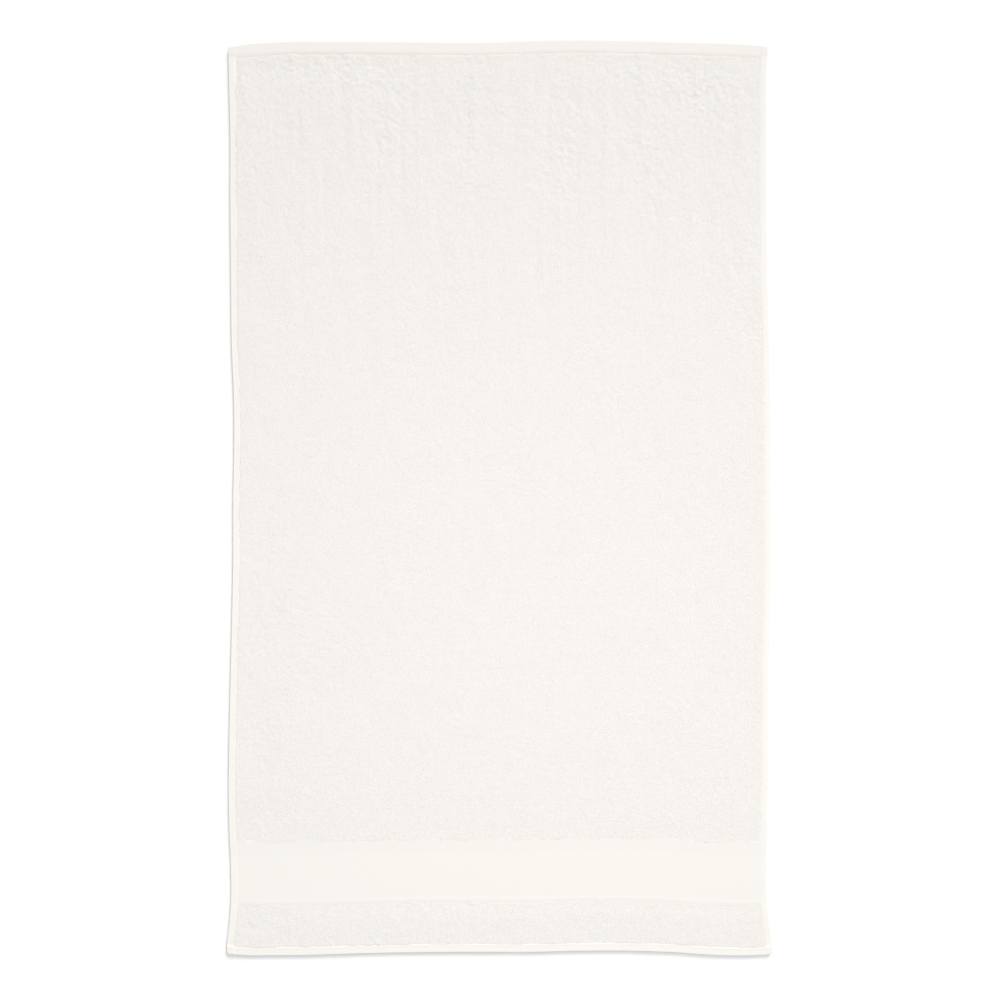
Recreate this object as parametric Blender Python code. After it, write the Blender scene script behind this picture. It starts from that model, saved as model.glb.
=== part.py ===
"""A towel of looped cotton terry, laid out flat with its face up.

Sizes are in metres. The cloth rests on z = 0, +Y runs from the foot end, which has the
flat-woven band, to the head end, and +X is to the right seen from above.

The cloth is one closed solid. Its upper side is a grid of sections across the width: each
point starts on a straight rectangle, is pushed with the uneven edges, and gets the height
of the hem, the pile or the band that it lies on. Its under side is flat where it rests.
"""

import bmesh
import bpy
import numpy as np

MM = 0.001

# The straight rectangle that the four edges wander about
WIDTH = 710 * MM
LENGTH = 1200 * MM
CORNER_RADIUS = 5 * MM

# Heights of the cloth as it lies
PILE_HEIGHT = 4.0 * MM
BAND_HEIGHT = 3.4 * MM
SIDE_HEM_HEIGHT = 4.1 * MM
END_HEM_HEIGHT = 4.35 * MM
BAND_HEM_HEIGHT = 3.6 * MM
CORNER_FOLD_EXTRA = 0.65 * MM

# Widths of the hems, up to the valley of their seams
SIDE_HEM_WIDTH = 9 * MM
HEAD_HEM_WIDTH = 15.5 * MM
FOOT_HEM_WIDTH = 10.5 * MM

# The flat-woven band, from the foot end of the rectangle
HEADER_LENGTH = 68 * MM
BAND_LENGTH = 72 * MM
BAND_UPPER_SLOPE = 24 * MM
BAND_LOWER_SLOPE = 5 * MM

# The flat under side starts this far in from the rounded edge
UNDER_INSET = 1.2 * MM

# How steeply a dent fades: it keeps a fifth of its depth at its half length
DENT_FADE = 1.5

# Where grid lines cross one edge of the band, in shares of that edge's slope
SLOPE_SHARES = np.array((-0.5, -0.2, 0.2, 0.5))

# Spacing of the sections where nothing happens, along and across the cloth
STEP_ALONG = 22 * MM
STEP_ACROSS = 34 * MM

TERRY_COLOUR = (0.896, 0.871, 0.831, 1.0)
TERRY_ROUGHNESS = 0.95

# Columns: distance in from the edge in widths of its hem, share of the hem's height, share of
# the cloth's height. The hem is a rounded fold, and its seam lies in a shallow valley.
HEM_PROFILE = (
    (0.00, 0.35, 0.00),
    (0.08, 0.75, 0.00),
    (0.22, 1.00, 0.00),
    (0.50, 1.00, 0.00),
    (0.84, 1.00, 0.00),
    (0.93, 0.78, 0.10),
    (1.03, 0.27, 0.60),
    (1.15, 0.03, 0.93),
    (1.40, 0.00, 1.00),
)

# Columns: place along Y in mm, how far the left edge and the right edge lie outside the
# rectangle in mm. The band holds the cloth in, and the foot corners flare out below it.
SIDE_EDGES = (
    (-600, 4.4, 4.6),
    (-585, 4.2, 4.2),
    (-560, 1.4, 0.5),
    (-530, -0.7, -2.5),
    (-490, -0.8, -3.2),
    (-440, 1.2, -2.5),
    (-390, 2.2, -1.5),
    (-310, 1.3, -0.9),
    (-230, -0.4, -0.7),
    (-150, -2.3, 1.7),
    (-70, -3.7, 3.3),
    (0, -3.7, 2.3),
    (70, -5.0, 2.1),
    (140, -4.5, 1.5),
    (200, -1.9, 0.5),
    (290, -0.8, -1.9),
    (400, 0.1, -3.6),
    (490, 0.2, -3.5),
    (560, 1.9, -3.4),
    (600, 2.6, -1.1),
)

# Columns: place along X in mm, how far the head edge and the foot edge lie outside the
# rectangle in mm. The corners are pulled back at the head and hang out at the foot.
END_EDGES = (
    (-355, -6.1, 1.6),
    (-330, -2.0, 3.3),
    (-300, 0.3, 3.3),
    (-250, 1.6, 2.8),
    (-200, 1.3, 1.2),
    (-120, 1.0, -0.6),
    (-40, 0.1, -1.2),
    (40, 2.1, -1.1),
    (110, 3.4, -2.7),
    (170, 2.4, -2.7),
    (230, 0.8, -0.7),
    (280, -0.5, 2.8),
    (330, -2.6, 3.3),
    (355, -5.1, 2.0),
)

# Columns: X and Y of the middle in mm, half length and half width in mm, depth in mm, turn
# of the long axis from +X in degrees. These are the soft dents left by laying it out.
DENTS = (
    (-243, 566, 105, 26, 0.6, 0),
    (252, 540, 100, 42, 0.7, -6),
    (-150, 480, 110, 26, 0.5, 86),
    (-40, 500, 120, 24, 0.4, 92),
    (85, 470, 120, 26, 0.5, 88),
    (200, 440, 90, 26, 0.4, 95),
    (318, 305, 46, 26, 0.5, 60),
    (334, 220, 52, 24, 0.6, 90),
    (-318, -60, 62, 28, 0.7, 82),
    (-305, -170, 66, 28, 0.8, 60),
    (-262, -245, 60, 32, 0.6, 40),
    (-318, -330, 70, 28, 0.7, 88),
    (-316, -425, 52, 30, 0.6, 15),
    (330, -262, 80, 26, 0.6, 90),
    (40, -120, 150, 60, 0.3, 25),
    (-120, 180, 140, 50, 0.3, 65),
    (150, 120, 150, 55, 0.3, 110),
    (-316, -556, 36, 26, 0.5, 0),
)

HEM_IN = np.array([row[0] for row in HEM_PROFILE])
HEM_SHARE = np.array([row[1] for row in HEM_PROFILE])
CLOTH_SHARE = np.array([row[2] for row in HEM_PROFILE])


def curve_through(table, column, place):
    """The smooth cubic through one column of a table in mm, read at places in metres."""
    at = np.array([row[0] for row in table]) * MM
    value = np.array([row[column] for row in table]) * MM
    slope = np.gradient(value, at)
    start = np.clip(np.searchsorted(at, place) - 1, 0, len(at) - 2)
    step = at[start + 1] - at[start]
    u = np.clip((place - at[start]) / step, 0.0, 1.0)
    return (
        (1 + 2 * u) * (1 - u) ** 2 * value[start]
        + u * (1 - u) ** 2 * step * slope[start]
        + u**2 * (3 - 2 * u) * value[start + 1]
        + u**2 * (u - 1) * step * slope[start + 1]
    )


def smooth_step(low, high, value):
    """0 below low, 1 above high, and a soft slope between them."""
    u = np.clip((value - low) / (high - low), 0.0, 1.0)
    return u * u * (3 - 2 * u)


def band_share(y):
    """1 on the flat-woven band and 0 on the terry, with a slope at each of its edges."""
    lower_edge = -LENGTH / 2 + HEADER_LENGTH
    upper_edge = lower_edge + BAND_LENGTH
    above = smooth_step(lower_edge - BAND_LOWER_SLOPE / 2, lower_edge + BAND_LOWER_SLOPE / 2, y)
    below = smooth_step(upper_edge - BAND_UPPER_SLOPE / 2, upper_edge + BAND_UPPER_SLOPE / 2, y)
    return above * (1 - below)


def dent_depth(x, y):
    """How far the dents push the upper side down: a soft round bowl for each row."""
    depth = np.zeros_like(x)
    for centre_x, centre_y, half_length, half_width, deep, turn in DENTS:
        angle = np.radians(turn)
        from_x = x - centre_x * MM
        from_y = y - centre_y * MM
        along = (from_x * np.cos(angle) + from_y * np.sin(angle)) / (half_length * MM)
        across = (from_y * np.cos(angle) - from_x * np.sin(angle)) / (half_width * MM)
        depth += deep * MM * np.exp(-DENT_FADE * (along**2 + across**2))
    return depth


def cloth_height(x, y):
    """Height of the upper side at points of the straight rectangle."""
    from_side = (WIDTH / 2 - np.abs(x)) / SIDE_HEM_WIDTH
    from_end = (LENGTH / 2 - np.abs(y)) / np.where(y > 0, HEAD_HEM_WIDTH, FOOT_HEM_WIDTH)
    from_edge = np.minimum(from_side, from_end)
    on_end = np.interp(from_end, HEM_IN, HEM_SHARE)
    side = SIDE_HEM_HEIGHT + (BAND_HEM_HEIGHT - SIDE_HEM_HEIGHT) * band_share(y)
    hem = side + (END_HEM_HEIGHT - SIDE_HEM_HEIGHT) * on_end
    cloth = PILE_HEIGHT + (BAND_HEIGHT - PILE_HEIGHT) * band_share(y)
    inside = np.interp(from_edge, HEM_IN, CLOTH_SHARE)
    folded = np.interp(from_side, HEM_IN, HEM_SHARE) * on_end
    return (
        hem * np.interp(from_edge, HEM_IN, HEM_SHARE)
        + CORNER_FOLD_EXTRA * folded
        + (cloth - dent_depth(x, y)) * inside
    )


def push_with_edges(x, y):
    """Where points of the straight rectangle lie once the edges wander and corners round."""
    into_corner = np.clip(np.abs(y) - (LENGTH / 2 - CORNER_RADIUS), 0.0, CORNER_RADIUS)
    corner_inset = CORNER_RADIUS - np.sqrt(CORNER_RADIUS**2 - into_corner**2)
    right_share = 0.5 + x / WIDTH
    head_share = 0.5 + y / LENGTH
    pushed_x = (
        x * (1 - 2 * corner_inset / WIDTH)
        - curve_through(SIDE_EDGES, 1, y) * (1 - right_share)
        + curve_through(SIDE_EDGES, 2, y) * right_share
    )
    pushed_y = (
        y
        + curve_through(END_EDGES, 1, x) * head_share
        - curve_through(END_EDGES, 2, x) * (1 - head_share)
    )
    return pushed_x, pushed_y


def lines_between(low, high, step):
    """Evenly spaced grid lines strictly between two others."""
    count = int(np.ceil((high - low) / step))
    return np.linspace(low, high, count + 1)[1:-1]


def slope_lines(edge, slope):
    """Grid lines over one edge of the band."""
    return edge + slope * SLOPE_SHARES


def grid_lines():
    """Grid lines across and along: close together over the hems and the band's edges."""
    left_hem = -WIDTH / 2 + HEM_IN * SIDE_HEM_WIDTH
    foot_hem = -LENGTH / 2 + HEM_IN * FOOT_HEM_WIDTH
    head_hem = LENGTH / 2 - HEM_IN[::-1] * HEAD_HEM_WIDTH
    lower = slope_lines(-LENGTH / 2 + HEADER_LENGTH, BAND_LOWER_SLOPE)
    upper = slope_lines(-LENGTH / 2 + HEADER_LENGTH + BAND_LENGTH, BAND_UPPER_SLOPE)
    across = np.concatenate((
        left_hem,
        lines_between(left_hem[-1], -left_hem[-1], STEP_ACROSS),
        -left_hem[::-1],
    ))
    along = np.concatenate((
        foot_hem,
        lines_between(foot_hem[-1], lower[0], STEP_ALONG),
        lower,
        lines_between(lower[-1], upper[0], STEP_ALONG),
        upper,
        lines_between(upper[-1], head_hem[0], STEP_ALONG),
        head_hem,
    ))
    return across, along


def cloth_mesh(name):
    """The closed cloth: upper grid, rounded rim and one flat face underneath."""
    across, along = grid_lines()
    x, y = np.meshgrid(across, along)
    upper_x, upper_y = push_with_edges(x, y)
    upper = np.stack((upper_x, upper_y, cloth_height(x, y)), axis=-1)

    columns, rows = len(across), len(along)
    rim = (
        [(0, i) for i in range(columns)]
        + [(j, columns - 1) for j in range(1, rows)]
        + [(rows - 1, i) for i in range(columns - 2, -1, -1)]
        + [(j, 0) for j in range(rows - 2, 0, -1)]
    )
    rim_x = np.array([across[i] for _, i in rim])
    rim_y = np.array([along[j] for j, _ in rim])
    under_x, under_y = push_with_edges(
        rim_x * (1 - 2 * UNDER_INSET / WIDTH),
        rim_y * (1 - 2 * UNDER_INSET / LENGTH),
    )
    middle = (upper.reshape(-1, 3).max(axis=0) + upper.reshape(-1, 3).min(axis=0)) / 2

    cloth = bmesh.new()
    grid = [
        [cloth.verts.new((px - middle[0], py - middle[1], pz)) for px, py, pz in row]
        for row in upper
    ]
    under = [
        cloth.verts.new((px - middle[0], py - middle[1], 0.0))
        for px, py in zip(under_x, under_y)
    ]
    for j in range(rows - 1):
        for i in range(columns - 1):
            cloth.faces.new((grid[j][i], grid[j][i + 1], grid[j + 1][i + 1], grid[j + 1][i]))
    edge = [grid[j][i] for j, i in rim]
    for k in range(len(rim)):
        following = (k + 1) % len(rim)
        cloth.faces.new((edge[following], edge[k], under[k], under[following]))
    cloth.faces.new(under[::-1])

    mesh = bpy.data.meshes.new(name)
    cloth.to_mesh(mesh)
    cloth.free()
    return mesh


def terry_material():
    """Undyed cream cotton: matt all over."""
    material = bpy.data.materials.new("cream_terry")
    material.use_nodes = True
    shader = material.node_tree.nodes["Principled BSDF"]
    shader.inputs["Base Color"].default_value = TERRY_COLOUR
    shader.inputs["Roughness"].default_value = TERRY_ROUGHNESS
    shader.inputs["Metallic"].default_value = 0.0
    return material


def make_towel():
    """The towel with its woven band and its four sewn hems, all one cloth."""
    mesh = cloth_mesh("towel")
    mesh.shade_smooth()
    mesh.materials.append(terry_material())
    towel = bpy.data.objects.new("towel", mesh)
    bpy.context.scene.collection.objects.link(towel)
    return towel


for leftover in list(bpy.data.objects):
    bpy.data.objects.remove(leftover, do_unlink=True)
make_towel()
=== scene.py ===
# %% [markdown]
# A bath towel of looped cotton terry, spread out flat and seen from straight above.
#
# The real thing is one woven cloth. Most of it carries a pile of small yarn loops, a band across
# the foot end is woven flat, and all four edges are folded under and sewn into narrow hems. We
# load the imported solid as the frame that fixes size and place, then dress it: a thin closed
# sheet for the cloth, a fine carpet of loops on its terry zones, and the stitches of the hems.

# %% Load the frame
import math

import bpy
import numpy as np
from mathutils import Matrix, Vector


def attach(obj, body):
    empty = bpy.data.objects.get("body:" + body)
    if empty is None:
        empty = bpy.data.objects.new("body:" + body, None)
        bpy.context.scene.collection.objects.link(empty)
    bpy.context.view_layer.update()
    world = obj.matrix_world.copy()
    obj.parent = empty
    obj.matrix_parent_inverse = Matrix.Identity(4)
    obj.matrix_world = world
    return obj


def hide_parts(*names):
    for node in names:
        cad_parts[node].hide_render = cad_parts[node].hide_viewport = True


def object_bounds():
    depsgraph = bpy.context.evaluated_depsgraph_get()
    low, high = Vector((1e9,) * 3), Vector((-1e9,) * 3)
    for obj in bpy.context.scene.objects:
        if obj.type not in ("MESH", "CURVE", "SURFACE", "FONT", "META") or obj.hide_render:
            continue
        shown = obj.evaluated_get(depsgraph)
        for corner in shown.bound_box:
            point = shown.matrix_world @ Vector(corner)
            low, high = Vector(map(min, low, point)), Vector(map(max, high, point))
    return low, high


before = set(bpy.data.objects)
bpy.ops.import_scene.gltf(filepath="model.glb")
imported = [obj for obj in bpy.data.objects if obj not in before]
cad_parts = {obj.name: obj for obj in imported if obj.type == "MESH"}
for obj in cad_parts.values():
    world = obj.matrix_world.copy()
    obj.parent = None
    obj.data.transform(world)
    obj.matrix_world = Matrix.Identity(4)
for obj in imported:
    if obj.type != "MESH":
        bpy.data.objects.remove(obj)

MM = 0.001
cad_low, cad_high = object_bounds()
print("solid's box in mm:", [round(1000 * side, 1) for side in cad_high - cad_low])

# %% [markdown]
# The towel's zones. Every point of the cloth starts on a straight rectangle, where the zones are
# simple: a hem all round, the terry body, the flat band and a strip of terry under it. The
# rectangle's measures are those that the solid was made with.

# %% Name the zones
WIDTH = 710 * MM
LENGTH = 1200 * MM
CORNER_RADIUS = 5 * MM

PILE_HEIGHT = 4.0 * MM
GROUND_HEIGHT = 2.5 * MM
BAND_HEIGHT = 3.4 * MM
BAND_HEM_HEIGHT = 3.6 * MM
CORNER_FOLD_EXTRA = 0.45 * MM

BAND_LOW_EDGE = -LENGTH / 2 + 68 * MM
BAND_HIGH_EDGE = BAND_LOW_EDGE + 81 * MM

# %% [markdown]
# No edge of a laid towel is straight. The band holds the cloth in, the foot corners flare out
# and the head corners are pulled back. A short table of offsets for each edge, joined by a
# smooth cubic, gives the same outline as the solid. One could push the corners of a coarse cage
# by hand, but a table of real millimetres can be read and corrected.

# %% Let the edges wander
# Columns: place along Y, how far the left and the right edge lie outside the rectangle, in mm
SIDE_EDGES = (
    (-600, 4.4, 4.6),
    (-585, 4.2, 4.2),
    (-560, 1.4, 0.5),
    (-530, -0.7, -2.5),
    (-490, -0.8, -3.2),
    (-440, 1.2, -2.5),
    (-390, 2.2, -1.5),
    (-310, 1.3, -0.9),
    (-230, -0.4, -0.7),
    (-150, -2.3, 1.7),
    (-70, -3.7, 3.3),
    (0, -3.7, 2.3),
    (70, -5.0, 2.1),
    (140, -4.5, 1.5),
    (200, -1.9, 0.5),
    (290, -0.8, -1.9),
    (400, 0.1, -3.6),
    (490, 0.2, -3.5),
    (560, 1.9, -3.4),
    (600, 2.6, -1.1),
)

# Columns: place along X, how far the head and the foot edge lie outside the rectangle, in mm
END_EDGES = (
    (-355, -6.1, 1.6),
    (-330, -2.0, 3.3),
    (-300, 0.3, 3.3),
    (-250, 1.6, 2.8),
    (-200, 1.3, 1.2),
    (-120, 1.0, -0.6),
    (-40, 0.1, -1.2),
    (40, 2.1, -1.1),
    (110, 3.4, -2.7),
    (170, 2.4, -2.7),
    (230, 0.8, -0.7),
    (280, -0.5, 2.8),
    (330, -2.6, 3.3),
    (355, -5.1, 2.0),
)


def curve_through(table, column, place):
    """The smooth cubic through one column of a table in mm, read at places in metres.

    Between two rows it is the Hermite curve whose slopes are the mean slopes of the rows beside.
    """
    at = np.array([row[0] for row in table]) * MM
    value = np.array([row[column] for row in table]) * MM
    slope = np.gradient(value, at)
    start = np.clip(np.searchsorted(at, place) - 1, 0, len(at) - 2)
    step = at[start + 1] - at[start]
    u = np.clip((place - at[start]) / step, 0.0, 1.0)
    return (
        (1 + 2 * u) * (1 - u) ** 2 * value[start]
        + u * (1 - u) ** 2 * step * slope[start]
        + u**2 * (3 - 2 * u) * value[start + 1]
        + u**2 * (u - 1) * step * slope[start + 1]
    )


def push_with_edges(x, y):
    """Where points of the straight rectangle lie on the laid cloth.

    Each point moves with the edges at its own height and width, in the share of its distance
    to each of them, and the last few millimetres are drawn in to round the corners.
    """
    into_corner = np.clip(np.abs(y) - (LENGTH / 2 - CORNER_RADIUS), 0.0, CORNER_RADIUS)
    corner_inset = CORNER_RADIUS - np.sqrt(CORNER_RADIUS**2 - into_corner**2)
    right_share = 0.5 + x / WIDTH
    head_share = 0.5 + y / LENGTH
    pushed_x = (
        x * (1 - 2 * corner_inset / WIDTH)
        - curve_through(SIDE_EDGES, 1, y) * (1 - right_share)
        + curve_through(SIDE_EDGES, 2, y) * right_share
    )
    pushed_y = (
        y
        + curve_through(END_EDGES, 1, x) * head_share
        - curve_through(END_EDGES, 2, x) * (1 - head_share)
    )
    return pushed_x, pushed_y


EDGE_SAMPLES = 601
edge_run = np.linspace(-0.5, 0.5, EDGE_SAMPLES)
side_x, _ = push_with_edges(np.array([[-WIDTH / 2], [WIDTH / 2]]), edge_run[None] * LENGTH)
_, end_y = push_with_edges(edge_run[None] * WIDTH, np.array([[-LENGTH / 2], [LENGTH / 2]]))
drawn_middle = ((side_x.min() + side_x.max()) / 2, (end_y.min() + end_y.max()) / 2)
CLOTH_SHIFT = (
    (cad_low.x + cad_high.x) / 2 - drawn_middle[0],
    (cad_low.y + cad_high.y) / 2 - drawn_middle[1],
)
print("outline:", round(np.ptp(side_x) * 1000, 1), "x", round(np.ptp(end_y) * 1000, 1), "mm")


def lay(x, y, z):
    """Points of the straight rectangle at their heights, as rows of laid cloth positions."""
    laid_x, laid_y = push_with_edges(x, y)
    return np.stack((laid_x + CLOTH_SHIFT[0], laid_y + CLOTH_SHIFT[1], z), axis=-1)


# %% [markdown]
# Cloth is never even. Noise in numpy is easy to make: random values on a lattice, blended
# smoothly between its points. The same helper serves for loop clumps a few millimetres wide and
# for the long combed streaks that a hand leaves in the pile, only the cell sizes differ.

# %% Make noise and soft steps
LATTICE = 512


def lattice_noise(x, y, cell_x, cell_y, seed):
    """Smooth noise from -0.5 to 0.5: random values on a lattice, eased between its points."""
    values = np.random.default_rng(seed).random((LATTICE, LATTICE)) - 0.5
    u, v = x / cell_x, y / cell_y
    column, row = np.floor(u).astype(int), np.floor(v).astype(int)
    u, v = u - column, v - row
    u, v = u * u * (3 - 2 * u), v * v * (3 - 2 * v)
    left, right = column % LATTICE, (column + 1) % LATTICE
    low, high = row % LATTICE, (row + 1) % LATTICE
    below = values[left, low] * (1 - u) + values[right, low] * u
    above = values[left, high] * (1 - u) + values[right, high] * u
    return below * (1 - v) + above * v


def soft_step(low, high, value):
    """0 below low, 1 above high, and an S-shaped slope between them."""
    u = np.clip((value - low) / (high - low), 0.0, 1.0)
    return u * u * (3 - 2 * u)


# %% [markdown]
# Laying the towel out left a few soft dents, most of them along the left side and near the head.
# Each is a shallow bowl, half a millimetre deep: too slight for a fold, but light from the side
# shows it as a cloudy patch. The rows repeat those of the solid.

# %% Press in the dents
# Columns: X and Y of the middle, half length, half width and depth in mm, turn in degrees
DENTS = (
    (-243, 566, 105, 26, 0.6, 0),
    (252, 540, 100, 42, 0.7, -6),
    (-150, 480, 110, 26, 0.5, 86),
    (-40, 500, 120, 24, 0.4, 92),
    (85, 470, 120, 26, 0.5, 88),
    (200, 440, 90, 26, 0.4, 95),
    (318, 305, 46, 26, 0.5, 60),
    (334, 220, 52, 24, 0.6, 90),
    (-318, -60, 62, 28, 0.7, 82),
    (-305, -170, 66, 28, 0.8, 60),
    (-262, -245, 60, 32, 0.6, 40),
    (-318, -330, 70, 28, 0.7, 88),
    (-316, -425, 52, 30, 0.6, 15),
    (330, -262, 80, 26, 0.6, 90),
    (40, -120, 150, 60, 0.3, 25),
    (-120, 180, 140, 50, 0.3, 65),
    (150, 120, 150, 55, 0.3, 110),
    (-316, -556, 36, 26, 0.5, 0),
)
DENT_FADE = 1.5


def dent_depth(x, y):
    """How far the dents push the cloth down: a round bowl, exp of minus the squared distance."""
    depth = np.zeros_like(x)
    for centre_x, centre_y, half_length, half_width, deep, turn in DENTS:
        angle = np.radians(turn)
        from_x, from_y = x - centre_x * MM, y - centre_y * MM
        along = (from_x * np.cos(angle) + from_y * np.sin(angle)) / (half_length * MM)
        across = (from_y * np.cos(angle) - from_x * np.sin(angle)) / (half_width * MM)
        depth += deep * MM * np.exp(-DENT_FADE * (along**2 + across**2))
    return depth


# %% [markdown]
# The hem is cloth folded twice and sewn down, so from the side it is a rounded roll that ends
# where the seam pulls it in. The head's hem is the widest and leaves a thin valley in front of
# the pile; at the sides and at the foot the pile stands right against it. Instead of modelling
# the fold's layers, which nobody can see, one height profile over the distance from the edge
# gives the roll and its fall to the ground of the cloth. A short table holds its measures.

# %% Measure inwards from the edges
# Columns: height of the roll in mm, then distances in from the edge: where the roll begins to
# fall and where it has ended, where the seam runs, where the pile starts and where it is full
HEM_COLUMNS = ("height", "roll_falls", "roll_ends", "seam", "pile_starts", "pile_full")
SIDE_HEM, HEAD_HEM, FOOT_HEM = (
    dict(zip(HEM_COLUMNS, np.array(row) * MM))
    for row in (
        (4.00, 7.8, 10.8, 6.2, 6.4, 8.2),
        (4.55, 12.6, 20.0, 12.0, 15.0, 17.4),
        (4.20, 10.2, 14.0, 8.4, 8.8, 10.2),
    )
)


def from_edges(x, y):
    """Distance in from the nearest side and from the nearest end."""
    return WIDTH / 2 - np.abs(x), LENGTH / 2 - np.abs(y)


def inside(x, y, starts, full, wander=0.0):
    """0 on the hems, 1 on the cloth, and a soft step where two columns of the hems say."""
    from_side, from_end = from_edges(x, y)
    end_starts = np.where(y > 0, HEAD_HEM[starts], FOOT_HEM[starts])
    end_full = np.where(y > 0, HEAD_HEM[full], FOOT_HEM[full])
    return soft_step(SIDE_HEM[starts], SIDE_HEM[full], from_side + wander) * soft_step(
        end_starts, end_full, from_end + wander
    )


# %% [markdown]
# The face is then three heights laid over each other: the roll of the hem, the ground of the
# cloth, and the band, which lies a little below the loops and sinks slowly from its upper edge. A
# thick cord of weft closes the band below. The head's hem leans down a little towards the pile,
# which shades it, and slow noise makes every hem swell and sink, as sewn hems do. The ground
# under the pile is never seen, so it only has to reach the loops' roots.

# %% Shape the hem and the cloth
RIM_SHARE = 0.70
ROLL_RADIUS = 0.5 * MM
BAND_TUCK = (-5 * MM, -1 * MM)
BAND_SINKS = (4 * MM, -20 * MM)
BAND_TOP_HEIGHT = 4.02 * MM
BAND_HEM_BEGINS = (BAND_LOW_EDGE - 9 * MM, BAND_LOW_EDGE + 3 * MM)
BAND_HEM_ENDS = (BAND_HIGH_EDGE - 22 * MM, BAND_HIGH_EDGE)
HEM_PUFF, PUFF_ACROSS, PUFF_ALONG = 0.35 * MM, 21 * MM, 26 * MM
HEAD_LEAN = 0.055
BAND_CORD_OVER_EDGE = 2.6 * MM
BAND_CORD_HALF_WIDTH = 1.5 * MM
BAND_CORD_HEIGHT = 0.15 * MM


def roll_rise(distance):
    """The outer quarter of the roll: from the rim's height up to the full one."""
    lean = 1 - np.clip(distance / ROLL_RADIUS, 0.0, 1.0)
    return RIM_SHARE + (1 - RIM_SHARE) * np.sqrt(1 - lean**2)


def ground_height(y):
    """Height of the cloth under the pile and of the band, which sinks slowly from its high edge.

    Past both its edges the band is tucked down to the ground, under the pile that starts there.
    """
    sunk = soft_step(*BAND_SINKS, y - BAND_HIGH_EDGE)
    band = BAND_TOP_HEIGHT + (BAND_HEIGHT - BAND_TOP_HEIGHT) * sunk
    tucked_low = soft_step(*BAND_TUCK, y - BAND_LOW_EDGE)
    tucked_high = soft_step(*BAND_TUCK, BAND_HIGH_EDGE - y)
    cord = np.exp(-(((y - BAND_LOW_EDGE - BAND_CORD_OVER_EDGE) / BAND_CORD_HALF_WIDTH) ** 2))
    return GROUND_HEIGHT + (band - GROUND_HEIGHT) * tucked_low * tucked_high + BAND_CORD_HEIGHT * cord


def face_height(x, y):
    """Height of the cloth's face without its loops: hem rolls, ground, band and its cord."""
    from_side, from_end = from_edges(x, y)
    on_band = soft_step(*BAND_HEM_BEGINS, y) * (1 - soft_step(*BAND_HEM_ENDS, y))
    side = SIDE_HEM["height"] + (BAND_HEM_HEIGHT - SIDE_HEM["height"]) * on_band
    end = np.where(y > 0, HEAD_HEM["height"] - HEAD_LEAN * from_end, FOOT_HEM["height"])
    on_end = 1 - soft_step(FOOT_HEM["roll_falls"], FOOT_HEM["roll_ends"], from_end)
    on_side = 1 - soft_step(SIDE_HEM["roll_falls"], SIDE_HEM["roll_ends"], from_side)
    hem = side + (end - side) * on_end + HEM_PUFF * lattice_noise(x, y, PUFF_ACROSS, PUFF_ALONG, 11)
    corner = CORNER_FOLD_EXTRA * on_side * on_end
    roll = (hem + corner) * roll_rise(np.minimum(from_side, from_end))
    return roll + (ground_height(y) - dent_depth(x, y) - roll) * inside(x, y, "roll_falls", "roll_ends")


# %% [markdown]
# The under side lies on the surface, so it is flat there. Only the rim curls up to meet the
# face, the seam leaves a groove, and here and there the cloth doesn't quite touch.

# %% Shape the under side
UNDER_CURL = 1.4 * MM
UNDER_GROOVE = 0.5 * MM
UNDER_GROOVE_HALF_WIDTH = 1.3 * MM
UNDER_WAVE, WAVE_ACROSS, WAVE_ALONG = 0.16 * MM, 12 * MM, 15 * MM


def from_seam(x, y):
    """Distance from the nearest seam, where every seam runs on to the edges of the cloth."""
    from_side, from_end = from_edges(x, y)
    end_seam = np.where(y > 0, HEAD_HEM["seam"], FOOT_HEM["seam"])
    return np.minimum(np.abs(from_side - SIDE_HEM["seam"]), np.abs(from_end - end_seam))


def under_height(x, y):
    """Height of the under side: a curled rim, a groove along the seam, and slight waves."""
    from_edge = np.minimum(*from_edges(x, y))
    lean = 1 - np.clip(from_edge / UNDER_CURL, 0.0, 1.0)
    curl = RIM_SHARE * SIDE_HEM["height"] * (1 - np.sqrt(1 - lean**2))
    groove = UNDER_GROOVE * np.exp(-((from_seam(x, y) / UNDER_GROOVE_HALF_WIDTH) ** 2))
    wave = UNDER_WAVE * (0.5 + lattice_noise(x, y, WAVE_ACROSS, WAVE_ALONG, 12)) * (1 - lean)
    return curl + groove + wave


# %% [markdown]
# A grid can be as fine as it needs to be in one place and coarse in another. Lines lie close
# together over the hems and at the band's edges, and far apart under the pile, where the ground
# of the cloth is hidden.

# %% Space the grid lines
# Places across a hem, where 1 is the end of its roll, and places beside its seam
HEM_LINES = np.array((0, 0.03, 0.08, 0.15, 0.25, 0.42, 0.6, 0.74, 0.81, 0.87, 0.93, 1.0, 1.1, 1.25, 1.5))
SEAM_LINES = np.array((-1.4, -0.6, 0, 0.6, 1.4)) * MM
LINE_GRAIN = 0.2 * MM
CLOTH_STEP = 8 * MM
BAND_STEP = 2.4 * MM
EDGE_STEP = 1.2 * MM


def lines_between(low, high, step):
    """Evenly spaced lines from low to high, both left out, at most a step apart."""
    count = max(int(math.ceil((high - low) / step)), 1)
    return np.linspace(low, high, count + 1)[1:-1]


def hem_lines(hem):
    """Lines in from the edge over a hem and its seam, where lines that nearly meet become one."""
    lines = np.concatenate((HEM_LINES * hem["roll_ends"], hem["seam"] + SEAM_LINES))
    return np.unique(np.round(lines / LINE_GRAIN)) * LINE_GRAIN


def lines_across():
    """Grid lines from the left edge to the right."""
    left = -WIDTH / 2 + hem_lines(SIDE_HEM)
    return np.concatenate((left, lines_between(left[-1], -left[-1], CLOTH_STEP), -left[::-1]))


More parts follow.
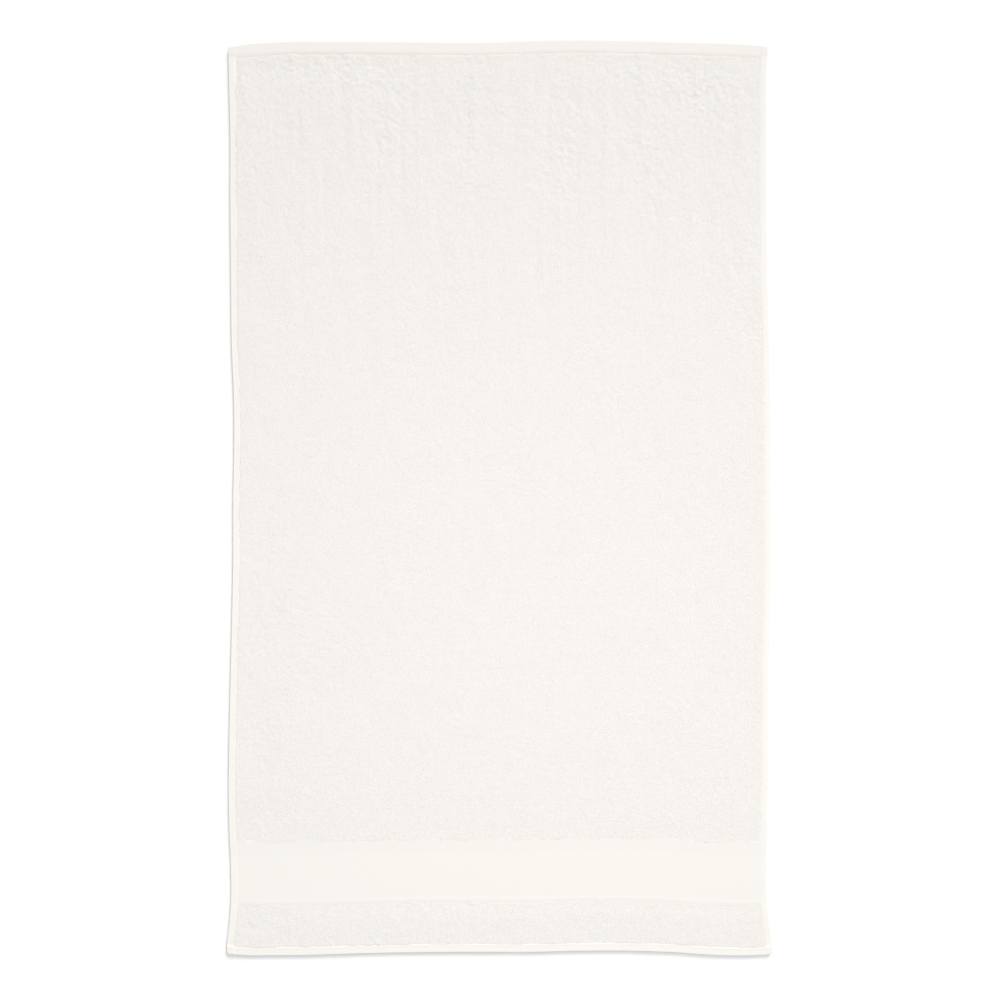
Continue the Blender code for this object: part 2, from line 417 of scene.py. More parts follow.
def lines_along():
    """Grid lines from the foot to the head, close together over the band."""
    foot = -LENGTH / 2 + hem_lines(FOOT_HEM)
    head = LENGTH / 2 - hem_lines(HEAD_HEM)[::-1]
    stops = (
        (BAND_LOW_EDGE - 6 * MM, CLOTH_STEP),
        (BAND_LOW_EDGE + 7 * MM, EDGE_STEP),
        (BAND_HIGH_EDGE - 4 * MM, BAND_STEP),
        (BAND_HIGH_EDGE + 6 * MM, EDGE_STEP),
        (head[0], CLOTH_STEP),
    )
    lines, low = [foot], foot[-1]
    for high, step in stops:
        lines += [lines_between(low, high, step), [high]]
        low = high
    return np.concatenate(lines[:-1] + [head])


# %% [markdown]
# The cloth is one closed surface: the face and the under side are two grids that share their
# border, which is the rim. Whole arrays of corners go into the mesh at once, which takes
# Blender a fraction of a second where a loop over vertices would take minutes.

# %% Weave the closed sheet
FINISHES = ("hem_weave", "band_weave", "under_terry")
HEM_FINISH, BAND_FINISH, UNDER_FINISH = range(3)
HEM_FINISH_ENDS = 0.6
BAND_FINISH_SPARE = 4 * MM


def grid_quads(index):
    """Corner numbers of the quads of a grid of point numbers, seen from above anticlockwise."""
    return np.stack((index[:-1, :-1], index[:-1, 1:], index[1:, 1:], index[1:, :-1]), -1).reshape(-1, 4)


def mesh_piece(name, points, quads, finishes, finish_of_quad=None, caps=(), flat_from=None, sharp=None):
    """A new object from arrays of points and quads, and of caps with more corners.

    Faces from number flat_from on are flat, and the edges between two sharp points are sharp.
    """
    corners = np.concatenate((quads.ravel(), *caps))
    cap_starts = quads.size + np.cumsum([0] + [len(cap) for cap in caps])[:-1]
    starts = np.concatenate((np.arange(0, quads.size, 4), cap_starts))
    mesh = bpy.data.meshes.new(name)
    mesh.vertices.add(len(points))
    mesh.vertices.foreach_set("co", points.astype(np.float32).ravel())
    mesh.loops.add(len(corners))
    mesh.loops.foreach_set("vertex_index", corners.astype(np.int32))
    mesh.polygons.add(len(starts))
    mesh.polygons.foreach_set("loop_start", starts.astype(np.int32))
    for finish in finishes:
        mesh.materials.append(bpy.data.materials[finish])
    if finish_of_quad is not None:
        mesh.polygons.foreach_set("material_index", finish_of_quad.astype(np.int32))
    smooth = np.arange(len(starts)) < (len(starts) if flat_from is None else flat_from)
    mesh.polygons.foreach_set("use_smooth", smooth)
    mesh.update(calc_edges=True)
    if sharp is not None:
        ends = np.empty(2 * len(mesh.edges), np.int32)
        mesh.edges.foreach_get("vertices", ends)
        mesh.edges.foreach_set("use_edge_sharp", sharp[ends.reshape(-1, 2)].all(axis=1))
    if mesh.validate():
        print(name, "had faults that Blender mended")
    piece = bpy.data.objects.new(name, mesh)
    bpy.context.scene.collection.objects.link(piece)
    print(f"{name}: {len(points)} points, {len(corners) - 2 * len(starts)} triangles")
    return piece


def weave_cloth():
    """The towel's closed sheet, with its hem, its band and its looped under side as finishes."""
    x, y = np.meshgrid(lines_across(), lines_along())
    face = lay(x, y, face_height(x, y))
    under = lay(x, y, under_height(x, y))
    rows, columns = x.shape
    face_index = np.arange(rows * columns).reshape(rows, columns)
    under_index = face_index.copy()
    inner_count = (rows - 2) * (columns - 2)
    under_index[1:-1, 1:-1] = rows * columns + np.arange(inner_count).reshape(rows - 2, columns - 2)
    points = np.concatenate((face.reshape(-1, 3), under[1:-1, 1:-1].reshape(-1, 3)))
    quads = np.concatenate((grid_quads(face_index), grid_quads(under_index)[:, ::-1]))

    middle_x = (x[:-1, :-1] + x[1:, 1:]).ravel() / 2
    middle_y = (y[:-1, :-1] + y[1:, 1:]).ravel() / 2
    on_hem = inside(middle_x, middle_y, "roll_falls", "roll_ends") < HEM_FINISH_ENDS
    from_band = np.maximum(BAND_LOW_EDGE - middle_y, middle_y - BAND_HIGH_EDGE)
    on_band = from_band < BAND_FINISH_SPARE
    finish = np.where(on_hem, HEM_FINISH, np.where(on_band, BAND_FINISH, UNDER_FINISH))
    return mesh_piece("towel_cloth", points, quads, FINISHES, np.concatenate((finish, finish)))


# %% [markdown]
# The pile is hundreds of thousands of loops about 1.5 mm apart. Modelling each would need tens
# of millions of faces. What the eye reads are the loops' tips standing higher and lower, so the
# pile is a fine carpet with one point for every loop: each point is moved sideways at random and
# up or down with its clump, and the shader draws the yarn on top. Lanes keep each piece small.
# Every lane is a thin closed slab whose flat under side is sunk into the cloth.

# %% Raise the pile
PILE_STEP = 1.45 * MM
PILE_LANES = 5
PILE_ROOT = 1.6 * MM
PILE_SUNK = 1.1 * MM
SIDEWAYS = 0.3
LOOP_JITTER = 0.06 * MM
HIGH_EDGE_RISE = (-5.5 * MM, -0.5 * MM)
LOW_EDGE_RISE = (-2 * MM, 2 * MM)
RAGGED, RAGGED_CELL = 1.6 * MM, 3 * MM
HEAD_SINK, HEAD_SINK_LENGTH = 0.8 * MM, 60 * MM
BAND_SINK, BAND_SINK_LENGTH = 0.70 * MM, 26 * MM

# Columns: cell across, cell along, height in mm, seed. Small cells are clumps of loops.
CLUMPS = (
    (3.4, 4.0, 0.24, 21),
    (7.5, 9.5, 0.09, 22),
    (15, 20, 0.18, 23),
    (46, 60, 0.16, 24),
)
# The same columns for the streaks that combing with a hand leaves near the head end, and
# fainter in the strip below the band
STREAKS = (
    (8, 60, 0.48, 25),
    (16, 120, 0.60, 26),
)
STREAKS_START = 60 * MM
STREAKS_FULL = 480 * MM
CLUMPS_CALM, CLUMPS_COMBED, CLUMPS_PATCHY = 0.62, 1.10, 0.7
STRIP_COMBED = 0.35
PATCH_ACROSS, PATCH_ALONG = 70 * MM, 90 * MM
RUFFLED_PER_DEPTH = 2.6 / MM


def sum_of_noise(rows, x, y):
    """Noise of every row of a table, each at its own cell size and height, added up."""
    return sum(
        height * MM * lattice_noise(x, y, cell_x * MM, cell_y * MM, seed)
        for cell_x, cell_y, height, seed in rows
    )


def pile_height(x, y, chance):
    """Height of the loops' tips over the straight rectangle.

    From its root in the cloth the pile rises along every edge of its zone, whose line is ragged
    by a noise of loop size. To its height are added clumps, which stand out more where the pile
    is combed, in patches and in the dents, then the streaks and chance, and it sinks with the
    dents and a little towards the head's hem and the band's lower edge.
    """
    ragged = RAGGED * lattice_noise(x, y, RAGGED_CELL, RAGGED_CELL, 27)
    rise_high = soft_step(*HIGH_EDGE_RISE, y + ragged - BAND_HIGH_EDGE)
    rise_low = soft_step(*LOW_EDGE_RISE, BAND_LOW_EDGE - y - ragged)
    rise = inside(x, y, "pile_starts", "pile_full", ragged) * (rise_high + rise_low)

    below_band = y < (BAND_LOW_EDGE + BAND_HIGH_EDGE) / 2
    combed = soft_step(STREAKS_START, STREAKS_FULL, y) + STRIP_COMBED * below_band
    dents = dent_depth(x, y)
    patchy = 1 + CLUMPS_PATCHY * lattice_noise(x, y, PATCH_ACROSS, PATCH_ALONG, 28)
    patchy = patchy + RUFFLED_PER_DEPTH * dents
    sink = HEAD_SINK * (1 - soft_step(HEAD_HEM["pile_full"], HEAD_SINK_LENGTH, LENGTH / 2 - y))
    sink += BAND_SINK * soft_step(-BAND_SINK_LENGTH, 0, y - BAND_LOW_EDGE) * below_band
    uneven = (
        (CLUMPS_CALM + CLUMPS_COMBED * combed) * patchy * sum_of_noise(CLUMPS, x, y)
        + combed * sum_of_noise(STREAKS, x, y)
        + LOOP_JITTER * chance
        - dents
        - sink
    )
    return PILE_ROOT + (PILE_HEIGHT - PILE_ROOT + uneven) * rise


def slab(name, top, finish):
    """A closed slab under a grid of top points: walls go down to strips that span its width."""
    rows, columns = top.shape[:2]
    on_border = np.ones((rows, columns), bool)
    on_border[1:-1, 1:-1] = False
    top_index = np.arange(rows * columns).reshape(rows, columns)
    sunk_index = np.zeros((rows, columns), int)
    sunk_index[on_border] = rows * columns + np.arange(on_border.sum())
    sunk = top[on_border] * (1, 1, 0) + (0, 0, PILE_SUNK)

    def once_round(index):
        return np.concatenate((index[0, :-1], index[:-1, -1], index[-1, :0:-1], index[:0:-1, 0]))

    high, low = once_round(top_index), once_round(sunk_index)
    walls = np.stack((np.roll(high, -1), high, low, np.roll(low, -1)), -1)
    left, right = sunk_index[:, 0], sunk_index[:, -1]
    strips = np.stack((right[:-1], left[:-1], left[1:], right[1:]), -1)[1:-1]
    caps = (
        np.concatenate((sunk_index[0, ::-1], sunk_index[1, [0, -1]])),
        np.concatenate((sunk_index[-1], sunk_index[-2, [-1, 0]])),
    )
    quads = np.concatenate((grid_quads(top_index), walls, strips))
    return mesh_piece(
        name,
        np.concatenate((top.reshape(-1, 3), sunk)),
        quads,
        (finish,),
        caps=caps,
        flat_from=(rows - 1) * (columns - 1),
        sharp=np.concatenate((on_border.ravel(), np.zeros(len(sunk), bool))),
    )


def pile_zone(low_y, high_y, seed):
    """Top points of one zone of pile, on the laid cloth: a grid with every point shifted."""
    half_width = WIDTH / 2 - SIDE_HEM["pile_starts"]
    columns = int(round(2 * half_width / PILE_STEP / PILE_LANES)) * PILE_LANES + 1
    rows = int(round((high_y - low_y) / PILE_STEP)) + 1
    x, y = np.meshgrid(np.linspace(-half_width, half_width, columns), np.linspace(low_y, high_y, rows))
    chance = np.random.default_rng(seed).uniform(-1, 1, (3, rows, columns))
    x[:, 1:-1] += SIDEWAYS * PILE_STEP * chance[0, :, 1:-1]
    y[1:-1] += SIDEWAYS * PILE_STEP * chance[1, 1:-1]
    return lay(x, y, pile_height(x, y, chance[2]))


def raise_pile():
    """The body's lanes of pile, from left to right, and the strip of pile below the band."""
    body = pile_zone(BAND_HIGH_EDGE + HIGH_EDGE_RISE[0], LENGTH / 2 - HEAD_HEM["pile_starts"], 31)
    lane_columns = (body.shape[1] - 1) // PILE_LANES
    lanes = [
        slab(f"terry_lane_{n + 1}", body[:, n * lane_columns:(n + 1) * lane_columns + 1], "face_terry")
        for n in range(PILE_LANES)
    ]
    strip = pile_zone(FOOT_HEM["pile_starts"] - LENGTH / 2, BAND_LOW_EDGE + LOW_EDGE_RISE[1], 32)
    return lanes + [slab("terry_strip", strip, "face_terry")]


# %% [markdown]
# A lockstitch seam holds each hem: a row of short thread arcs that dive into the cloth at both
# ends. One stitch is a bent tube of a few faces, and an array of places along the seam line
# turns it into a whole seam, on the face and again on the under side.

# %% Sew the hems
STITCH_PITCH = 3.0 * MM
STITCH_REACH = 2.5 * MM
THREAD_RADIUS = 0.21 * MM
STITCH_DIVE, DIVE_SHARE = 0.34 * MM, 0.55
STITCH_TURN = 0.07
STITCH_TAPER = 0.88445
STITCH_SIDES = 5
STITCH_RINGS = 5
SEAM_INSET = 2.4 * MM


def seam_places():
    """Middles of all stitches, and 1 for those that run along X: four straight rows."""
    x_end, y_end = WIDTH / 2 - SEAM_INSET, LENGTH / 2 - SEAM_INSET
    side_run, end_run = np.arange(-y_end, y_end, STITCH_PITCH), np.arange(-x_end, x_end, STITCH_PITCH)
    side_x = WIDTH / 2 - SIDE_HEM["seam"]
    rows = (
        (np.full_like(side_run, -side_x), side_run, 0.0),
        (np.full_like(side_run, side_x), side_run, 0.0),
        (end_run, np.full_like(end_run, FOOT_HEM["seam"] - LENGTH / 2), 1.0),
        (end_run, np.full_like(end_run, LENGTH / 2 - HEAD_HEM["seam"]), 1.0),
    )
    x, y = (np.concatenate([row[axis] for row in rows]) for axis in (0, 1))
    return x, y, np.concatenate([np.full(len(row[0]), row[2]) for row in rows])


def sew(name, height_of, upward):
    """One seam round the towel, of closed tubes bent over a half sine on the surface height_of.

    A tube's radius tapers to its ends as the root of 1 minus the squared distance from its middle.
    """
    x, y, along_x = seam_places()
    turn = np.random.default_rng(41 if upward > 0 else 42).uniform(-STITCH_TURN, STITCH_TURN, len(x))
    step_x, step_y = along_x - turn * (1 - along_x), 1 - along_x + turn * along_x
    t = np.linspace(-0.5, 0.5, STITCH_RINGS)[None, :, None]
    angle = (np.arange(STITCH_SIDES) * 2 * np.pi / STITCH_SIDES)[None, None, :]
    radius = THREAD_RADIUS * np.sqrt(1 - STITCH_TAPER * (2 * t) ** 2)
    beside = radius * np.cos(angle)
    raised = upward * (radius * np.sin(angle) + STITCH_DIVE * (np.cos(np.pi * t) - DIVE_SHARE))
    centre_x = x[:, None, None] + step_x[:, None, None] * t * STITCH_REACH
    centre_y = y[:, None, None] + step_y[:, None, None] * t * STITCH_REACH
    place_x = centre_x - step_y[:, None, None] * beside
    place_y = centre_y + step_x[:, None, None] * beside
    place_z = height_of(centre_x, centre_y) + raised
    points = lay(place_x, place_y, place_z).reshape(-1, 3)

    ring = np.arange(STITCH_RINGS * STITCH_SIDES).reshape(STITCH_RINGS, STITCH_SIDES)
    following = np.roll(ring, -1, axis=1)
    tube = np.stack((ring[:-1], following[:-1], following[1:], ring[1:]), -1).reshape(-1, 4)
    ends = np.stack((ring[0, ::-1], ring[-1]))
    if upward < 0:
        tube, ends = tube[:, ::-1], ends[:, ::-1]
    start = ring.size * np.arange(len(x))[:, None, None]
    quads = (tube[None] + start).reshape(-1, 4)
    caps = (ends[None] + start).reshape(-1, STITCH_SIDES)
    return mesh_piece(name, points, quads, ("seam_thread",), caps=caps)


# %% [markdown]
# Now the finishes. A small helper makes node groups readable: sums and products of sockets are
# written in one line each.

# %% Help with shader nodes
class NodeBench:
    """Adds nodes to one tree, and joins sockets or sets plain numbers in the same call."""

    def __init__(self, tree):
        self.tree = tree

    def feed(self, socket, value):
        """Join a socket to another one, or set its plain value."""
        if isinstance(value, bpy.types.NodeSocket):
            self.tree.links.new(value, socket)
        else:
            socket.default_value = value

    def node(self, kind, inputs=(), **settings):
        """A node of a kind, its settings first because they decide which sockets it has."""
        made = self.tree.nodes.new(kind)
        for name, value in settings.items():
            setattr(made, name, value)
        for name, value in dict(inputs).items():
            self.feed(made.inputs[name], value)
        return made

    def math(self, operation, *values, clamp=False):
        """One arithmetic step."""
        made = self.node("ShaderNodeMath", operation=operation, use_clamp=clamp)
        for socket, value in zip(made.inputs, values):
            self.feed(socket, value)
        return made.outputs[0]

    def vector(self, operation, *values):
        """One step with vectors."""
        made = self.node("ShaderNodeVectorMath", operation=operation)
        for socket, value in zip(made.inputs, values):
            self.feed(socket, value)
        return made.outputs[0]

    def noise(self, place, cells, detail):
        """A noise texture with so many cells a metre."""
        return self.node("ShaderNodeTexNoise", {"Vector": place, "Scale": cells, "Detail": detail})

    def blend(self, share, low, high):
        """A colour between two others."""
        made = self.node("ShaderNodeMix", data_type="RGBA")
        for number, value in ((0, share), (6, low), (7, high)):
            self.feed(made.inputs[number], value)
        return made.outputs[2]


def new_group(name, inputs, outputs):
    """An empty shader node group with named sockets, and the bench that fills it."""
    group = bpy.data.node_groups.new(name, "ShaderNodeTree")
    for socket_name, kind, value in inputs:
        socket = group.interface.new_socket(socket_name, in_out="INPUT", socket_type=kind)
        if value is not None:
            socket.default_value = value
    for socket_name in outputs:
        group.interface.new_socket(socket_name, in_out="OUTPUT", socket_type="NodeSocketFloat")
    bench = NodeBench(group)
    return bench, bench.node("NodeGroupInput").outputs, bench.node("NodeGroupOutput").inputs


# %% [markdown]
# Terry seen from close by is a tangle of short twisted yarn arcs. Voronoi cells give each loop a
# place, a random turn and a random height. In a cell's own turned coordinates a loop is half an
# ellipsoid, bent into an arc, with a fine twist along it. Four layers of loops, each on its own
# cells, cover the ground, and the highest loop wins. Painted noise alone looks like plaster; the
# arcs are what makes it read as terry.

# %% Spin the loops
LOOP_LAYERS = ((1.00, 0.0, 0.0), (1.05, 13.7, 7.1), (1.11, 29.1, 41.3), (1.07, 53.1, 21.3))
LOOP_BEND = 0.9
TWIST_PITCH = 0.42 * MM
TWIST_DEPTH = 0.05
STRAY_CELLS = 300
STRAY_REACH = 1.2 * MM


def spin_loops():
    """The group terry_loops: height of the loops' yarn at a place, and how much of it is tip."""
    bench, given, result = new_group(
        "terry_loops",
        (
            ("Place", "NodeSocketVector", None),
            ("Loops per metre", "NodeSocketFloat", 560.0),
            ("Half length", "NodeSocketFloat", 1.2 * MM),
            ("Half width", "NodeSocketFloat", 0.48 * MM),
        ),
        ("Height", "Tip"),
    )
    stray = bench.noise(given["Place"], STRAY_CELLS, 1.0).outputs["Color"]
    place = bench.vector("MULTIPLY_ADD", stray, (STRAY_REACH,) * 3, given["Place"])
    height = None
    for crowding, shift_x, shift_y in LOOP_LAYERS:
        shifted = bench.vector("ADD", place, (shift_x * MM, shift_y * MM, 0.0))
        cells = bench.node(
            "ShaderNodeTexVoronoi",
            {
                "Vector": shifted,
                "Scale": bench.math("MULTIPLY", given["Loops per metre"], crowding),
                "Randomness": 0.85,
            },
            voronoi_dimensions="2D",
        )
        chance = bench.node("ShaderNodeSeparateColor", {"Color": cells.outputs["Color"]}).outputs
        turned = bench.node(
            "ShaderNodeVectorRotate",
            {
                "Vector": bench.vector("SUBTRACT", shifted, cells.outputs["Position"]),
                "Angle": bench.math("MULTIPLY", chance["Red"], 2 * math.pi),
            },
            rotation_type="Z_AXIS",
        )
        local = bench.node("ShaderNodeSeparateXYZ", {"Vector": turned.outputs[0]}).outputs
        along = bench.math("DIVIDE", local["X"], given["Half length"])
        along_squared = bench.math("MULTIPLY", along, along)
        beside = bench.math("DIVIDE", local["Y"], given["Half width"])
        beside = bench.math("MULTIPLY_ADD", along_squared, LOOP_BEND, beside)
        reach = bench.math("MULTIPLY_ADD", beside, beside, along_squared)
        arc = bench.math("SQRT", bench.math("MAXIMUM", bench.math("SUBTRACT", 1.0, reach), 0.0))
        twist = bench.math("MULTIPLY_ADD", local["Y"], 0.8, local["X"])
        twist = bench.math("SINE", bench.math("MULTIPLY", twist, 2 * math.pi / TWIST_PITCH))
        twist = bench.math("MULTIPLY_ADD", twist, TWIST_DEPTH, 1.0)
        stands = bench.math("MULTIPLY_ADD", chance["Green"], 0.55, 0.45)
        yarn = bench.math("MULTIPLY", bench.math("MULTIPLY", arc, stands), twist)
        height = yarn if height is None else bench.math("MAXIMUM", height, yarn)
    bench.feed(result["Height"], height)
    # Tip is the loops' lit share: below it the finishes paint shade between the loops
    bench.feed(result["Tip"], bench.math("MULTIPLY", height, 1.35, clamp=True))
    return bench.tree


# %% [markdown]
# The hems and the band are woven flat. A product of two sines gives the little bumps where one
# yarn passes over another, and their two pitches make it a plain weave on the hem or a fine rib
# on the band. Slubs, which are thicker stretches of yarn, come from noise drawn out along the
# yarn's direction.

# %% Weave the flat cloth
def weave_flat():
    """The group flat_weave: height of the yarns at a place, for two yarn pitches in metres."""
    bench, given, result = new_group(
        "flat_weave",
        (
            ("Place", "NodeSocketVector", None),
            ("Pitch across", "NodeSocketFloat", 0.6 * MM),
            ("Pitch along", "NodeSocketFloat", 0.6 * MM),
            ("Slubs", "NodeSocketFloat", 0.3),
        ),
        ("Height", "Slub"),
    )
    place = bench.node("ShaderNodeSeparateXYZ", {"Vector": given["Place"]}).outputs
    drawn_out = bench.vector("MULTIPLY", given["Place"], (110.0, 900.0, 900.0))
    slub = bench.noise(drawn_out, 1.0, 2.0).outputs["Fac"]
    u = bench.math("DIVIDE", bench.math("MULTIPLY", place["X"], math.pi), given["Pitch across"])
    v = bench.math("DIVIDE", bench.math("MULTIPLY", place["Y"], math.pi), given["Pitch along"])
    crossing = bench.math("MULTIPLY", bench.math("SINE", u), bench.math("SINE", v))
    rib = bench.math("ABSOLUTE", bench.math("SINE", v))
    yarns = bench.math("MULTIPLY_ADD", crossing, 0.35, bench.math("MULTIPLY", rib, 0.45))
    height = bench.math("MULTIPLY_ADD", slub, given["Slubs"], yarns)
    # The height also tells the finishes where to paint shade between the yarns
    bench.feed(result["Height"], height)
    bench.feed(result["Slub"], slub)
    return bench.tree


# %% [markdown]
# No dye lies perfectly even, and loops that lean apart let a little less light out. Two scales
# of noise give a slow tone that every finish mixes into its colour.

# %% Mottle the tone
FINE_CELLS, BROAD_CELLS, FINE_SHARE = 160.0, 22.0, 0.6


def mottle_tone():
    """The group soft_mottle: a share from 0 to 1 that changes slowly over the cloth."""
    bench, given, result = new_group(
        "soft_mottle",
        (("Place", "NodeSocketVector", None), ("Strength", "NodeSocketFloat", 1.0)),
        ("Share",),
    )
    fine = bench.noise(given["Place"], FINE_CELLS, 2.0).outputs["Fac"]
    broad = bench.noise(given["Place"], BROAD_CELLS, 2.0).outputs["Fac"]
    both = bench.math("MULTIPLY_ADD", fine, FINE_SHARE, bench.math("MULTIPLY", broad, 1 - FINE_SHARE))
    away = bench.math("MULTIPLY", bench.math("SUBTRACT", both, 0.5), given["Strength"])
    bench.feed(result["Share"], bench.math("ADD", away, 0.5, clamp=True))
    return bench.tree


# %% [markdown]
# Each finish is cream cotton with painted shade: its colour is a little darker and warmer between
# the yarns, where light is caught. Roughness is high everywhere and the sheen stands for the fuzz
# of loose fibres. The band and the hems are smoother than the pile, so less shade is painted into
# their colours and they look a shade lighter.

# %% Dye the cotton
SHEEN_TINT = (1.0, 0.99, 0.96, 1.0)

# Columns: name, colour with painted shade between the yarns, colour of the yarn, roughness, sheen, bump
# in mm
TERRY_FINISHES = (
    ("face_terry", (0.738, 0.709, 0.660), (0.871, 0.844, 0.807), 0.96, 0.20, 0.25),
    ("under_terry", (0.780, 0.748, 0.694), (0.930, 0.902, 0.860), 0.96, 0.15, 0.25),
)
# The same columns, then the pitch across, the pitch along in mm and the slubs
WEAVE_FINISHES = (
    ("hem_weave", (0.828, 0.800, 0.754), (0.900, 0.871, 0.828), 0.88, 0.12, 0.07, 0.62, 0.62, 0.30),
    ("band_weave", (0.820, 0.793, 0.750), (0.856, 0.829, 0.788), 0.80, 0.10, 0.05, 0.50, 0.85, 0.25),
    ("seam_thread", (0.820, 0.792, 0.746), (0.900, 0.872, 0.832), 0.70, 0.05, 0.03, 0.30, 0.30, 0.20),
)
TONE_SPREAD = 0.35
SHEEN_ROUGHNESS, SPECULAR_LEVEL = 0.5, 0.25


def cotton(name, between, yarn, roughness, sheen, bump, pattern_group, pattern_inputs, shade_mask):
    """One finish: a pattern group gives height, and a share of yarn colour below which shade is painted
    between the yarns; the mottle shifts that share.
    """
    material = bpy.data.materials.new(name)
    material.use_nodes = True
    bench = NodeBench(material.node_tree)
    shader = material.node_tree.nodes["Principled BSDF"]
    place = bench.node("ShaderNodeTexCoord").outputs["Object"]
    pattern = bench.node("ShaderNodeGroup", node_tree=pattern_group)
    bench.feed(pattern.inputs["Place"], place)
    for socket_name, value in pattern_inputs.items():
        bench.feed(pattern.inputs[socket_name], value)
    mottle = bench.node("ShaderNodeGroup", node_tree=bpy.data.node_groups["soft_mottle"])
    bench.feed(mottle.inputs["Place"], place)
    bench.feed(mottle.inputs["Strength"], 1.0)
    away = bench.math("SUBTRACT", mottle.outputs["Share"], 0.5)
    share = bench.math("MULTIPLY_ADD", away, TONE_SPREAD, pattern.outputs[shade_mask], clamp=True)
    # Painted shade: where the pattern is low, between the yarns, the colour turns darker and warmer
    bench.feed(shader.inputs["Base Color"], bench.blend(share, (*between, 1.0), (*yarn, 1.0)))
    relief = bench.node(
        "ShaderNodeBump", {"Height": pattern.outputs["Height"], "Strength": 1.0, "Distance": bump * MM}
    )
    bench.feed(shader.inputs["Normal"], relief.outputs["Normal"])
    shader.inputs["Roughness"].default_value = roughness
    shader.inputs["Sheen Weight"].default_value = sheen
    shader.inputs["Sheen Roughness"].default_value = SHEEN_ROUGHNESS
    shader.inputs["Sheen Tint"].default_value = SHEEN_TINT
    shader.inputs["Specular IOR Level"].default_value = SPECULAR_LEVEL
    return material


terry_loops, flat_weave, soft_mottle = spin_loops(), weave_flat(), mottle_tone()
# The loops' Tip and the weave's Height decide where shade is painted between the yarns
for row in TERRY_FINISHES:
    cotton(*row, terry_loops, {}, "Tip")
for *row, pitch_across, pitch_along, slubs in WEAVE_FINISHES:
    weave = {"Pitch across": pitch_across * MM, "Pitch along": pitch_along * MM, "Slubs": slubs}
    cotton(*row, flat_weave, weave, "Height")
print("finishes:", [material.name for material in bpy.data.materials if material.use_nodes])

# %% [markdown]
# With the finishes made, the pieces can be put together.

# %% Make the pieces
towel_cloth = weave_cloth()
pile = raise_pile()
seams = [sew("face_seam", face_height, 1.0), sew("under_seam", under_height, -1.0)]
pieces = [towel_cloth, *pile, *seams]
print("triangles in all:", sum(len(piece.data.loops) - 2 * len(piece.data.polygons) for piece in pieces))

# %% [markdown]
# The towel replaces the plain solid and rides on it: a sheet of cloth that lies on a surface, with
# the pile and the seams as pieces on it. Its flat size is what the cloth measures when it is
# pulled straight: the rectangle that it was laid from.

# %% Fix the pieces to the frame
for piece in pieces:
    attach(piece, "root")
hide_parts("towel")

# %% [markdown]
# A white towel on white ground is told apart by light alone. The ground is lit until it is
# plain white, a large soft light from the upper right draws a thin shadow along the left and the
# lower edge, and even light from all round keeps the loops pale. Blender's plain view transform
# keeps whites white, where the filmic ones would turn them grey.

# %% Light the ground
GROUND_SIZE = 40.0
GROUND_GAP = 0.3 * MM
GROUND_COLOUR = (0.925, 0.925, 0.925, 1.0)
GROUND_RIM_COLOUR = (0.99, 0.99, 0.99, 1.0)
GROUND_RIM = (0.55, 1.1)
SKY_COLOUR = (0.985, 0.992, 1.0, 1.0)
SKY_STRENGTH = 0.619
KEY_DIRECTION = Vector((0.50, 1.10, 0.84))
KEY_STRENGTH = 1.85
KEY_SOFTNESS = math.radians(28)
POOL_PLACE = (0.16, -0.12, 1.4)
POOL_SIZE = 0.8
POOL_POWER = 4.8


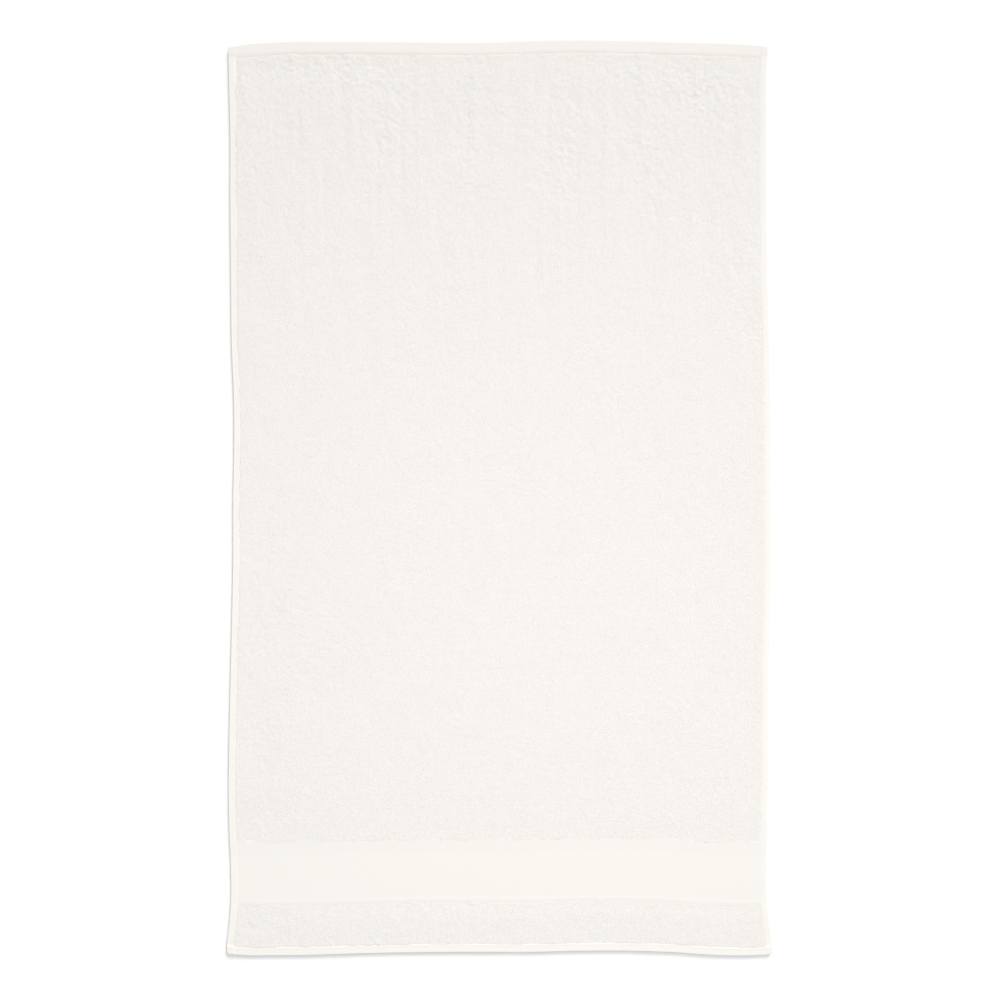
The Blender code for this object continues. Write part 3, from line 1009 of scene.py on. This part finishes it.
def lay_ground():
    """A large pale square under the towel, as a stage; it gets paler where the light fades."""
    half = GROUND_SIZE / 2
    corners = [(-half, -half), (half, -half), (half, half), (-half, half)]
    mesh = bpy.data.meshes.new("ground")
    mesh.from_pydata([(x, y, -GROUND_GAP) for x, y in corners], [], [(0, 1, 2, 3)])
    material = bpy.data.materials.new("pale_ground")
    material.use_nodes = True
    shader = material.node_tree.nodes["Principled BSDF"]
    bench = NodeBench(material.node_tree)
    place = bench.node("ShaderNodeTexCoord").outputs["Object"]
    away = bench.node("ShaderNodeVectorMath", {0: place}, operation="LENGTH").outputs["Value"]
    outward = bench.node(
        "ShaderNodeMapRange", {"Value": away, "From Min": GROUND_RIM[0], "From Max": GROUND_RIM[1]}
    )
    colour = bench.blend(outward.outputs["Result"], GROUND_COLOUR, GROUND_RIM_COLOUR)
    bench.feed(shader.inputs["Base Color"], colour)
    shader.inputs["Roughness"].default_value = 0.9
    mesh.materials.append(material)
    ground = bpy.data.objects.new("ground", mesh)
    bpy.context.scene.collection.objects.link(ground)
    return ground


def light_scene():
    """Even light from all round, a soft key light from the upper right, and a pool from above."""
    sky = bpy.data.worlds.new("studio")
    sky.use_nodes = True
    background = sky.node_tree.nodes["Background"]
    background.inputs["Color"].default_value = SKY_COLOUR
    background.inputs["Strength"].default_value = SKY_STRENGTH
    bpy.context.scene.world = sky
    key = bpy.data.lights.new("key", "SUN")
    key.energy = KEY_STRENGTH
    key.angle = KEY_SOFTNESS
    lamp = bpy.data.objects.new("key", key)
    lamp.rotation_euler = KEY_DIRECTION.to_track_quat("Z", "Y").to_euler()
    bpy.context.scene.collection.objects.link(lamp)
    pool = bpy.data.lights.new("pool", "AREA")
    pool.shape = "DISK"
    pool.size = POOL_SIZE
    pool.energy = POOL_POWER
    overhead = bpy.data.objects.new("pool", pool)
    overhead.location = POOL_PLACE
    overhead.visible_camera = False
    bpy.context.scene.collection.objects.link(overhead)


lay_ground()
light_scene()
bpy.context.scene.view_settings.view_transform = "Standard"

# %% [markdown]
# The photograph looks straight down from far enough that the towel's thickness hardly shows. A
# long lens at the height where the frame is as wide as the photograph gives the same picture.

# %% Place the camera
METRES_PER_PIXEL = 1.200 / 910.9
FRAME_PIXELS = 1000
TOWEL_CENTRE_PIXEL = (499.55, 497.9)
LENS = 80.0
SENSOR = 36.0

camera_data = bpy.data.cameras.new("camera")
camera_data.lens = LENS
camera_data.sensor_width = SENSOR
camera_data.clip_end = 50.0
camera = bpy.data.objects.new("camera", camera_data)
camera.location = (
    (cad_low.x + cad_high.x) / 2 + (FRAME_PIXELS / 2 - TOWEL_CENTRE_PIXEL[0]) * METRES_PER_PIXEL,
    (cad_low.y + cad_high.y) / 2 + (TOWEL_CENTRE_PIXEL[1] - FRAME_PIXELS / 2) * METRES_PER_PIXEL,
    PILE_HEIGHT + FRAME_PIXELS * METRES_PER_PIXEL * LENS / SENSOR,
)
bpy.context.scene.collection.objects.link(camera)
bpy.context.scene.camera = camera
print("camera height:", round(camera.location.z, 3), "m")
